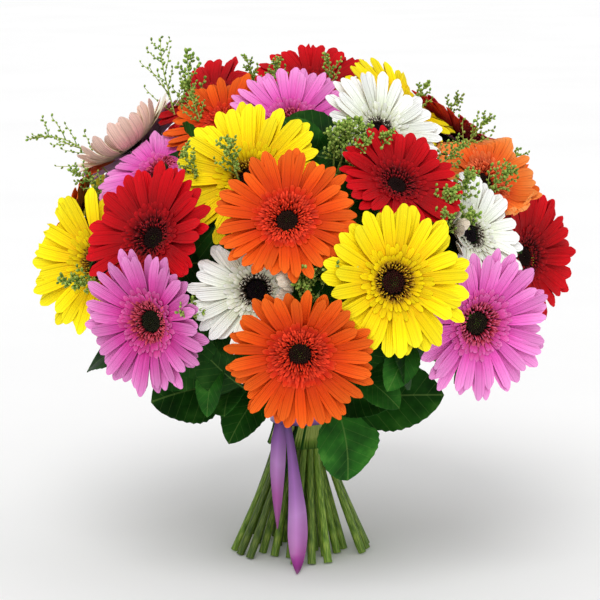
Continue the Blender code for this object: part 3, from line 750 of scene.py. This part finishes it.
def stemPath(bloom, radius, angle):
    form, axis, (low, high) = stemForm, bloom["axis"], stemForm["steps"]
    base = bloom["centre"] - axis * (bloomForm["underside"] + form["seat"])
    foot = base - axis * form["cupDepth"]
    path = route(radius, angle, 0, form["steps"], foot, axis, form["pull"])
    widths = [np.interp(place[2], form["heights"], form["widths"]) / 2 for place in path[:low]]
    *_, neck = form["widths"]
    widths += [(neck + (form["top"] - neck) * share) / 2 for share in np.linspace(0, 1, high)[1:]]
    for depth, width in form["cup"]:
        path.append(base - axis * (depth * form["cupDepth"]))
        widths.append(width)
    return path, widths


stemLook = {
    "sockets": {"Roughness": 0.45, "Specular IOR Level": 0.3}, "stretch": (3.0, 0.12, 1.0),
    "streaks": 9.0, "range": 0.85, "darkest": 0.45, "bump": 0.5, "depth": 0.5,
    "colours": [(0.3, "#3a5612"), (0.5, "#628426"), (0.7, "#9cb04c")],
}


def stemMaterial():
    look = stemLook
    material = newMaterial("stem_green", look["sockets"])
    tone = placeOf(material)[2]
    spot = addNode(material, "UVMap", uv_map="place").outputs["UV"]
    long = addNode(material, "Mapping", {"Vector": spot, "Scale": look["stretch"]}).outputs["Vector"]
    noise = addNode(material, "TexNoise", {"Vector": long, "Scale": look["streaks"], "Detail": 3.0})
    streaks = noise.outputs["Fac"]
    value = mathNode(material, "MULTIPLY_ADD", tone, look["range"], look["darkest"])
    return finished(material, look, rampNode(material, streaks, look["colours"]), value, streaks)


def makeStems(blooms, material):
    rng = np.random.default_rng(7)
    for index, group in enumerate(assignSlots(blooms)):
        store = newStore()
        for bloom, radius, angle in group:
            path, widths = stemPath(bloom, radius, angle)
            addTube(store, path, widths, stemForm["sides"], rng.random(), stemForm["ribs"])
        storedPiece(store, f"stalks_{index + 1:02d}", [material], f"stems_{index + 1:02d}")
    print("stems made")


# ---- leaves

# slot, cut height, the twig's end, then its leaves: share along the twig, tip's place, width
leafyRows = [
    (16, 92, (12, 94, 342), ((1.0, (-8, 98, 380), 32), (0.97, (17, 105, 373), 28))),
    (0, 58, (-30, 108, 162),
     ((1.0, (-47, 164, 154), 64), (0.92, (-24, 152, 150), 44), (0.6, (-32, 112, 116), 44))),
    (1, 92, (20, 96, 148),
     ((1.0, (47, 158, 158), 60), (0.8, (30, 84, 76), 58), (0.95, (29, 152, 158), 40))),
    (5, 92, (80, 116, 178),
     ((1.0, (62, 172, 186), 48), (0.9, (96, 172, 182), 52), (0.7, (74, 146, 158), 46))),
    (12, 92, (-84, 122, 178),
     ((1.0, (-69, 190, 174), 50), (0.9, (-104, 172, 180), 52), (0.7, (-80, 146, 156), 44))),
    (8, 92, (-150, 112, 180),
     ((1.0, (-136, 172, 186), 54), (0.9, (-168, 172, 182), 52), (0.7, (-146, 146, 158), 46))),
    (6, 92, (150, 112, 180),
     ((1.0, (134, 172, 186), 54), (0.9, (166, 172, 184), 52), (0.7, (148, 146, 158), 46))),
]
# small leaves on stalks of their own: the twig they grow on, base, tip, width, tone
underLeaves = [
    (2, (86, -140, 216), (70, -166, 173), 30, 2.0), (2, (44, -138, 182), (79, -152, 157), 30, 1.3),
    (1, (-62, -142, 200), (-75, -156, 150), 24, 1.3),
]
leafForm = {
    "columns": 6, "rows": 26, "stalk": 0.16, "stalkWidth": 0.05, "basePower": 0.55, "tipPower": 0.72,
    "full": 2.38, "teeth": 0.02, "arch": 0.1, "droop": 0.07, "trough": 0.16, "up": 0.35, "thick": 0.6,
    "wave": 0.03, "ring": 21.2, "slots": 20, "twig": 3.0, "twigPull": 0.8, "cut": 92.0, "seat": 0.995,
    "brightest": (2, 1), "brightTone": 2.2, "under": {"pull": 30, "sunk": 0.03, "thick": 1.8},
}


def leafMaster(columns, rows):
    form = leafForm
    outline = []
    for row in range(rows + 1):
        share = row / rows
        blade = max(0.0, (share - form["stalk"]) / (1 - form["stalk"]))
        half = form["full"] * blade ** form["basePower"] * (1 - blade) ** form["tipPower"]
        half *= 1 + form["teeth"] * (-1) ** row
        outline.append(max(half, form["stalkWidth"] if share < 0.5 else narrowest))
    return sheetMaster(columns, rows, outline)


def leafPoints(master, base, tip, width, rng):
    form = leafForm
    along = unit(tip - base)
    length = np.linalg.norm(tip - base)
    outward = unit(np.array((base[0] + tip[0], base[1] + tip[1], 0.0))) + (0, 0, form["up"])
    across = unit(np.cross(along, outward))
    face = unit(np.cross(across, along))
    x, s, t = master["points"].T
    side = x * width / 2
    lift = length * (form["arch"] * np.sin(math.pi * s) - form["droop"] * s ** 2)
    lift += form["trough"] * np.abs(side)
    lift += form["wave"] * width * np.sin(s * 9 + rng.uniform(0, 6)) * x ** 2 + t * form["thick"]
    return base + np.outer(s * length, along) + np.outer(side, across) + np.outer(lift, face)


def greenPath(slot, *rest):
    return route(leafForm["ring"], 2 * math.pi * slot / leafForm["slots"], *rest)


def alongPath(path, share):
    points = np.array([p for p in path if p[2] >= stemForm["neckHeight"] - 1])
    run = runOf(points)
    return pointAt(share * run[-1], run, points)


leafLook = {
    "sockets": {"Roughness": 0.5, "Specular IOR Level": 0.06},
    "rib": 0.012, "slant": -0.55, "veins": 26.0, "veinWide": 0.1,
    "ribLight": 0.3, "veinLight": 0.14, "lines": "#7ca050", "patchSize": 45.0, "range": 0.6, "darkest": 0.7,
    "bump": 0.6, "depth": 0.8,
}


def leafMaterial(name, *colours):
    look = leafLook
    material = newMaterial(name, look["sockets"])
    calc = partial(mathNode, material)
    across, along, tone = placeOf(material)
    away = calc("ABSOLUTE", calc("SUBTRACT", across, 0.5))
    rib = calc("LESS_THAN", away, look["rib"])
    slant = calc("MULTIPLY_ADD", away, look["slant"], along)
    wave = calc("ABSOLUTE", calc("SINE", calc("MULTIPLY", slant, look["veins"])))
    patches = noiseNode(material, look["patchSize"], 4.0)
    base = rampNode(material, patches, list(zip((0.3, 0.55, 0.8), colours)))
    value = calc("MULTIPLY_ADD", tone, look["range"], look["darkest"])
    lines = calc("MULTIPLY_ADD", calc("LESS_THAN", wave, look["veinWide"]), look["veinLight"],
                 calc("MULTIPLY", rib, look["ribLight"]))
    plug(material, "Base Color", mixNode(material, lines, toned(material, base, value), rgb(look["lines"])))
    raised = calc("ADD", calc("SMOOTH_MIN", wave, 0.25, 0.1), calc("MULTIPLY", rib, 0.4))
    bumpNode(material, raised, look)
    return material


fillerForm = {
    "count": 150, "lowest": -0.5, "highest": 0.95, "depth": (12, 30), "length": (55, 80), "width": (30, 46),
    # the fillers' tones stop low, as painted shade
    "outward": 0.25, "columns": 4, "rows": 14, "brightest": 0.4,
}


def fillerLeaves(master, rng):
    # Dark leaves set into the shade between the blooms, a little inside the dome, each with its azimuth;
    # their low tones are painted shade
    form, found = fillerForm, []
    for i in range(form["count"]):
        share = (i + 0.5) / form["count"]
        height = form["lowest"] + (form["highest"] - form["lowest"]) * share
        azimuth = (i * goldenTurn) % 360 - 180
        place, axis = onDome(azimuth, math.degrees(math.asin(height)))
        place = place - axis * rng.uniform(*form["depth"])
        spin = rng.uniform(0, 2 * math.pi)
        side = unit(np.cross(axis, (0.1, 0.2, 1)))
        way = unit(roundAxis(axis, side, spin) + axis * form["outward"])
        half, width = way * rng.uniform(*form["length"]) / 2, rng.uniform(*form["width"])
        found.append((azimuth, leafPoints(master, place - half, place + half, width, rng)))
    return found


def nearestTwig(azimuth):
    apart = [abs((row[2][0] - azimuth + 180) % 360 - 180) for row in leafyRows]
    return apart.index(min(apart))


def makeLeaves(materials):
    master = leafMaster(leafForm["columns"], leafForm["rows"])
    plain = leafMaster(fillerForm["columns"], fillerForm["rows"])
    rng = np.random.default_rng(21)
    fillers = fillerLeaves(plain, rng)
    for index, (slot, cut, end, leaves) in enumerate(leafyRows):
        store = newStore()
        target = placeAt(*end)
        into = unit(target - (0, 0, stemForm["neckHeight"]))
        path = greenPath(slot, cut, (12, 16), target, into, leafForm["twigPull"])
        addTwig(store, path, leafForm["twig"], 8)
        for number, (share, tip, width) in enumerate(leaves):
            base = alongPath(path, share * leafForm["seat"])
            tone = leafForm["brightTone"] if (index, number) == leafForm["brightest"] else rng.random()
            addCopies(store, master, [leafPoints(master, base, placeAt(*tip), width, rng)], [tone], 0)
        for twig, base, tip, width, tone in underLeaves:
            if twig == index:
                form, base, tip = leafForm["under"], np.array(base, float), np.array(tip, float)
                ends = path[-1], into * form["pull"], base + (tip - base) * form["sunk"], tip - base
                stalk = [hermite(*ends, share) for share in np.linspace(0, 1, 10)]
                addTwig(store, stalk, form["thick"], 6)
                addCopies(store, master, [leafPoints(master, base, tip, width, rng)], [tone], 0)
        for azimuth, points in fillers:
            if nearestTwig(azimuth) == index:
                # the filler leaves take only the darker tones, as painted shade
                addCopies(store, plain, [points], [rng.random() * fillerForm["brightest"]], 0)
        storedPiece(store, f"leaves_{index + 1:02d}", materials, f"leafy_{index + 1:02d}")
    print("leaves made")


# ---- flowering sprigs

# slot, azimuth and elevation where it leaves the dome, how far its tip stands out, lean, arch
sprigRows = [
    (4, 14, 49, 24, 10, 12, 3), (2, 48, 42, 24, 14, 8, 3), (7, 111, 21, 50, -14, 22, 3),
    (11, -106, 55, 50, 6, 32, 3), (14, -102, 31, 58, -22, 0, 16), (10, -101, 82, 30, 10, 8, 3),
    (9, 171, 25, 40, 0, 16, 3),
]
# The same for the sprigs between the blooms, and their shoots and buds' size; they replace no node
budRows = [
    (0.5, 16, 51, 26, 0, 8, 2, 12, 1.8), (4.5, 26, 48, 24, 4, 6, 2, 10, 1.6),
    (2.5, 49, 31, 30, -6, 8, 2, 13, 1.8), (3.5, 66, 31, 32, 0, 6, 2, 12, 1.6),
    (1.5, 6, 13, 30, 4, -2, 2, 13, 1.8), (19.5, 2, 7, 28, -4, 6, 2, 10, 1.6),
    (17.5, -23, 0, 28, 0, 4, 2, 12, 1.6), (14.5, -59, 3, 28, 0, 2, 2, 11, 1.6),
    (18.5, -21, 44, 26, -4, 8, 2, 11, 1.6), (3.1, 35, 22, 28, 0, 8, 2, 11, 1.6),
    (13.5, -70, 30, 26, -10, 8, 3, 11, 1.4), (15.5, -62, 62, 24, -6, 14, 3, 10, 1.4),
    (11.5, -130, 77, 26, -8, 14, 3, 9, 1.4), (6.5, 60, 82, 28, 0, 14, 3, 9, 1.4),
    (7.5, 92, 62, 26, 6, 10, 3, 10, 1.4), (8.5, 112, 50, 28, 8, 12, 3, 11, 1.4),
    (5.5, 78, 45, 30, 6, 12, 3, 12, 1.4), (0.2, 13, 50, 26, -4, 6, 2, 11, 1.7),
    (0.8, 21, 51, 24, 4, 8, 2, 11, 1.7), (4.2, 19, 46, 26, 0, 4, 2, 11, 1.6),
    (2.2, 40, 27, 28, -2, 6, 2, 12, 1.7), (2.8, 44, 23, 28, -2, 2, 2, 12, 1.7),
    (3.3, 37, 28, 28, 0, 8, 2, 10, 1.6), (1.2, 10, 11, 26, 4, 4, 2, 10, 1.6),
    (1.8, 3, 12, 28, -2, 2, 2, 10, 1.6), (16.5, -33, 40, 26, -4, 10, 2, 8, 1.4),
    (10.5, -100, 62, 62, 14, 0, 3, 9, 1.9),
]
sprigForm = {
    "thick": 2.2, "pull": 0.9, "depth": 14.0, "shoots": 12, "pod": 1.35, "points": 22, "hook": 9.0,
    "hookFrom": 0.55, "stalk": (0.85, 0.5), "shoot": (0.5, 0.2), "podLong": 1.3, "podWide": 0.8,
    "lean": 0.9, "vary": (0.75, 1.2), "turn": 2.4, "shootsFrom": 0.2, "shootsOver": 0.72,
    "longest": 0.3, "shortest": 0.07, "lengths": (0.7, 1.3), "out": 0.8, "on": 0.6, "curve": 0.35,
}


def podBlocks(master, path, rng, size, start):
    # Buds in a spiral along the outer part of a path
    form, blocks, path = sprigForm, [], np.array(path)
    heading = np.gradient(path, axis=0)
    for i in range(int(len(path) * start), len(path)):
        ahead = unit(heading[i])
        side = unit(np.cross(ahead, (0.2, 0.1, 1)))
        spin = i * form["turn"] + rng.uniform(-0.4, 0.4)
        way = unit(roundAxis(ahead, side, spin) + ahead * form["lean"])
        cross = unit(np.cross(way, (0.3, 0.5, 0.7)))
        big = size * rng.uniform(*form["vary"])
        wide, long = big * form["podWide"], way * big * form["podLong"]
        turned = np.stack((cross * wide, np.cross(way, cross) * wide, long))
        blocks.append(path[i] + long + master["points"] @ turned)
    return blocks


def sprayOf(store, pod, foot, tip, arch, rng, shoots, size):
    # A curved stalk with side shoots that shorten towards its hooked tip, all set with buds
    form = sprigForm
    span = np.linalg.norm(tip - foot)
    way = unit(tip - foot)
    side = unit(np.cross(way, (0, 0, 1)))
    bend = side * rng.choice((-1, 1)) * form["hook"] * span / 60
    shares = np.linspace(0, 1, form["points"])[:, None]
    hooked = (np.maximum(0, shares - form["hookFrom"]) / (1 - form["hookFrom"])) ** 2
    main = foot + (tip - foot) * shares + np.array((0, 0, 4 * arch)) * shares * (1 - shares)
    main = main + bend * hooked - way * 4 * np.maximum(0, shares - 0.8)
    shares = shares[:, 0]
    root, thinner = form["stalk"]
    addTube(store, main, root - thinner * shares, 5, 0.5)
    blocks = podBlocks(pod, main, rng, size, 0.3) + podBlocks(pod, main, rng, size * 0.8, 0.5)
    root, thinner = form["shoot"]
    for k in range(shoots):
        share = form["shootsFrom"] + form["shootsOver"] * k / shoots
        start = pointAt(share, shares, main)
        out = roundAxis(way, side, k * form["turn"] + rng.uniform(-0.3, 0.3)) * form["out"]
        length = span * (form["longest"] * (1 - share) + form["shortest"]) * rng.uniform(*form["lengths"])
        steps = np.linspace(0, 1, 8)
        shoot = [start + (out + way * form["on"]) * length * s + way * length * form["curve"] * s * s
                 for s in steps]
        addTube(store, shoot, root - thinner * steps, 4, 0.5)
        blocks += podBlocks(pod, shoot, rng, size * 0.9, 0.3) + podBlocks(pod, shoot, rng, size * 0.7, 0.5)
    addCopies(store, pod, blocks, rng.random(len(blocks)), 0)


def makeSprigs(material):
    pod = budMaster()
    rng = np.random.default_rng(5)
    form = sprigForm
    rows = [(row + (form["shoots"], form["pod"]), f"sprig_{i + 1:02d}") for i, row in enumerate(sprigRows)]
    rows += [(row, None) for row in budRows]
    for number, (row, node) in enumerate(rows):
        slot, azimuth, elevation, out, leanX, leanZ, arch, shoots, size = row
        store = newStore()
        leave, axis = onDome(azimuth, elevation)
        foot = leave - axis * form["depth"]
        tip = leave + axis * out + (leanX, 0, leanZ)
        path = greenPath(slot, leafForm["cut"], (12, 18), foot, axis, form["pull"])
        addTwig(store, path, form["thick"], 6)
        sprayOf(store, pod, foot, tip, arch, rng, shoots, size)
        storedPiece(store, f"spray_{number + 1:02d}", [material], node)
    print("sprigs made:", len(rows))


# ---- ribbon

ribbonForm = {
    "bandInside": 24.7, "bandThick": 1.0, "bandHeight": 16.0, "bandWave": 0.25, "thick": 0.8, "seat": 0.3,
    "knotAzimuth": -32, "knotSize": (8.0, 5.0, 8.0), "knotFolds": 0.06,
    "columns": 6, "steps": 40, "smoothing": 6,
    # a tail's points: across, towards the front, up, and its width there
    "tails": [
        [(-16, 27, 121, 8), (-18, 31, 101, 13), (-19, 36, 77, 13), (-19, 45, 51, 8), (-19, 54, 30, 1)],
        [(-12, 28, 121, 6), (-8, 32, 100, 6.5), (-4.5, 40, 70, 10), (-2, 50, 44, 15.5), (-2, 58, 24, 17.5),
         (-2, 66, 9, 12.5), (-2, 75, 0.8, 5.5), (-2.5, 88, 0.6, 0.5)]],
}
satinLook = {
    "sockets": {"Roughness": 0.3, "Anisotropic": 0.5, "Sheen Weight": 0.2},
    # Painted highlight and shade: the satin is lightest in a stripe along the tail and darker towards its
    # edges
    "patchSize": 22.0, "patches": 0.3, "sheenAt": 0.42, "dark": 0.9, "sheenPeak": 1.12,
    "threads": 900.0, "bump": 0.15, "depth": 0.05,
    # Violet to plum along the tail as its own colour, with a light lilac middle that is a painted highlight
    "colours": [(0.0, "#5c2c80"), (0.25, "#a05cb8"), (0.45, "#c484d0"), (0.7, "#a8409c"), (1.0, "#7c1c6c")],
}


def satinMaterial():
    look = satinLook
    material = newMaterial("ribbon_satin", look["sockets"])
    calc = partial(mathNode, material)
    across, along, _ = placeOf(material)
    spread = look["patches"]
    drift = calc("MULTIPLY_ADD", noiseNode(material, look["patchSize"]), spread, -spread / 2)
    base = rampNode(material, calc("ADD", along, drift), look["colours"])
    # Painted sheen: lightest in a stripe near the middle across, darker towards both edges as painted shade
    away = calc("ABSOLUTE", calc("SUBTRACT", across, look["sheenAt"]))
    paintedSheen = calc("MULTIPLY_ADD", calc("SMOOTH_MIN", away, 0.4, 0.1), -look["dark"], look["sheenPeak"])
    return finished(material, look, base, paintedSheen, calc("SINE", calc("MULTIPLY", along, look["threads"])))


def tailSurface(rows):
    # The tail's points made even and smooth along it
    form, rows = ribbonForm, np.array(rows, float)
    run, shares = np.linspace(0, 1, len(rows)), np.linspace(0, 1, form["steps"] + 1)
    smooth = pointAt(shares, run, rows).T
    for _ in range(form["smoothing"]):
        smooth[1:-1] = (smooth[:-2] + 2 * smooth[1:-1] + smooth[2:]) / 4
    return smooth


def ribbonPiece(name, shape, points, material):
    store = newStore()
    addCopies(store, shape, [points], [0.5], 0)
    return storedPiece(store, "ribbon_" + name, [material], "ribbon")


def makeRibbon(material):
    form = ribbonForm
    band = sheetMaster(48, 4, (1,) * 5)
    x, s, t = band["points"].T
    angle = x * math.pi * 0.9999
    radius = form["bandInside"] + form["bandThick"] / 2 + t * form["bandThick"] * 0.8
    radius = radius + form["bandWave"] * np.sin(s * 12)
    height = stemForm["neckHeight"] + (s - 0.5) * form["bandHeight"]
    points = np.stack((radius * np.sin(angle), -radius * np.cos(angle), height), axis=1)
    ribbonPiece("band", band, points, material)
    for side, rows in zip(("left", "right"), form["tails"]):
        smooth = tailSurface(rows)
        tail = sheetMaster(form["columns"], form["steps"], (1,) * len(smooth))
        x, s, t = tail["points"].T
        at = pointAt(s, np.linspace(0, 1, len(smooth)), smooth)
        front = at[1] + t * form["thick"] * 0.5 + 0.12 * at[3] * (1 - x ** 2) * 0.5
        points = np.stack((at[0] + x * at[3] / 2, -front, at[2]), axis=1)
        ribbonPiece("tail_" + side, tail, points, material)
    deselectAll()
    bpy.ops.mesh.primitive_uv_sphere_add(segments=24, ring_count=16, radius=1)
    knot = masterFrom(bpy.context.object, lambda p: p[:, 2])
    ball = knot["points"]
    knot.update(place=np.zeros((len(ball), 2)), under=np.zeros(len(ball)))
    local = ball * form["knotSize"] * (1 + form["knotFolds"] * np.sin(ball[:, 2] * 9))[:, None]
    away = form["bandInside"] + form["seat"] + form["knotSize"][1]
    middle = placeAt(form["knotAzimuth"], away, stemForm["neckHeight"])
    ribbonPiece("knot", knot, setRound(math.radians(form["knotAzimuth"]), *local.T) + middle, material)
    print("ribbon made")


# ---- floor, lights and camera

viewForm = {"target": (0, 0, 216), "distance": 2000.0, "elevation": 10.0, "lens": 141.18, "sensor": 36}
lightForm = {
    "world": 0.78,
    # azimuth, elevation, strength, softness; the second reaches under the blooms to the stems
    "suns": [(-10, 50, 1.15, 32), (5, 16, 0.45, 60)],
}


def placed(name, data, place, target):
    obj = bpy.data.objects.new(name, data)
    bpy.context.scene.collection.objects.link(obj)
    obj.location = place
    obj.rotation_euler = (Vector(target) - obj.location).to_track_quat("-Z", "Y").to_euler()
    return obj


def makeStage():
    deselectAll()
    bpy.ops.mesh.primitive_grid_add(x_subdivisions=8, y_subdivisions=8, size=40, location=(0, 0, -0.0005))
    floor = bpy.context.object
    floor.name = "floor"
    material = newMaterial("floor_pale", {"Roughness": 0.9})
    plug(material, "Base Color", rampNode(material, noiseNode(material, 2.0), [(0.3, 0.9), (0.7, 0.93)]))
    floor.data.materials.append(material)
    world = bpy.data.worlds.new("soft_daylight")
    world.use_nodes = True
    sky = world.node_tree.nodes["Background"].inputs
    sky["Color"].default_value = (1, 1, 1, 1)
    sky["Strength"].default_value = lightForm["world"]
    bpy.context.scene.world = world
    for azimuth, elevation, strength, softness in lightForm["suns"]:
        sun = bpy.data.lights.new("sun", "SUN")
        sun.energy = strength
        sun.angle = math.radians(softness)
        placed("sun", sun, direction(azimuth, elevation) * 3, (0, 0, 0))


def makeCamera():
    form = viewForm
    e = math.radians(form["elevation"])
    target = np.array(form["target"])
    place = target + np.array((0, -math.cos(e), math.sin(e))) * form["distance"]
    camera = bpy.data.cameras.new("camera")
    camera.lens = form["lens"]
    camera.sensor_width = form["sensor"]
    camera.clip_end = 60
    bpy.context.scene.camera = placed("camera", camera, place * mm, target * mm)
    print("floor, light and camera made")


blooms = layOutBlooms()
makeBlooms(blooms)
makeStems(blooms, stemMaterial())
makeLeaves([leafMaterial("leaf_dark", "#0e2e0a", "#1e4e14", "#42782a")])
makeSprigs(grainMaterial("sprig_olive", [(0.0, "#446820"), (0.6, "#7c9c3c"), (1.0, "#b0c064")], 0.6))
makeRibbon(satinMaterial())
makeStage()
makeCamera()
bpy.context.scene.view_settings.view_transform = "Standard"
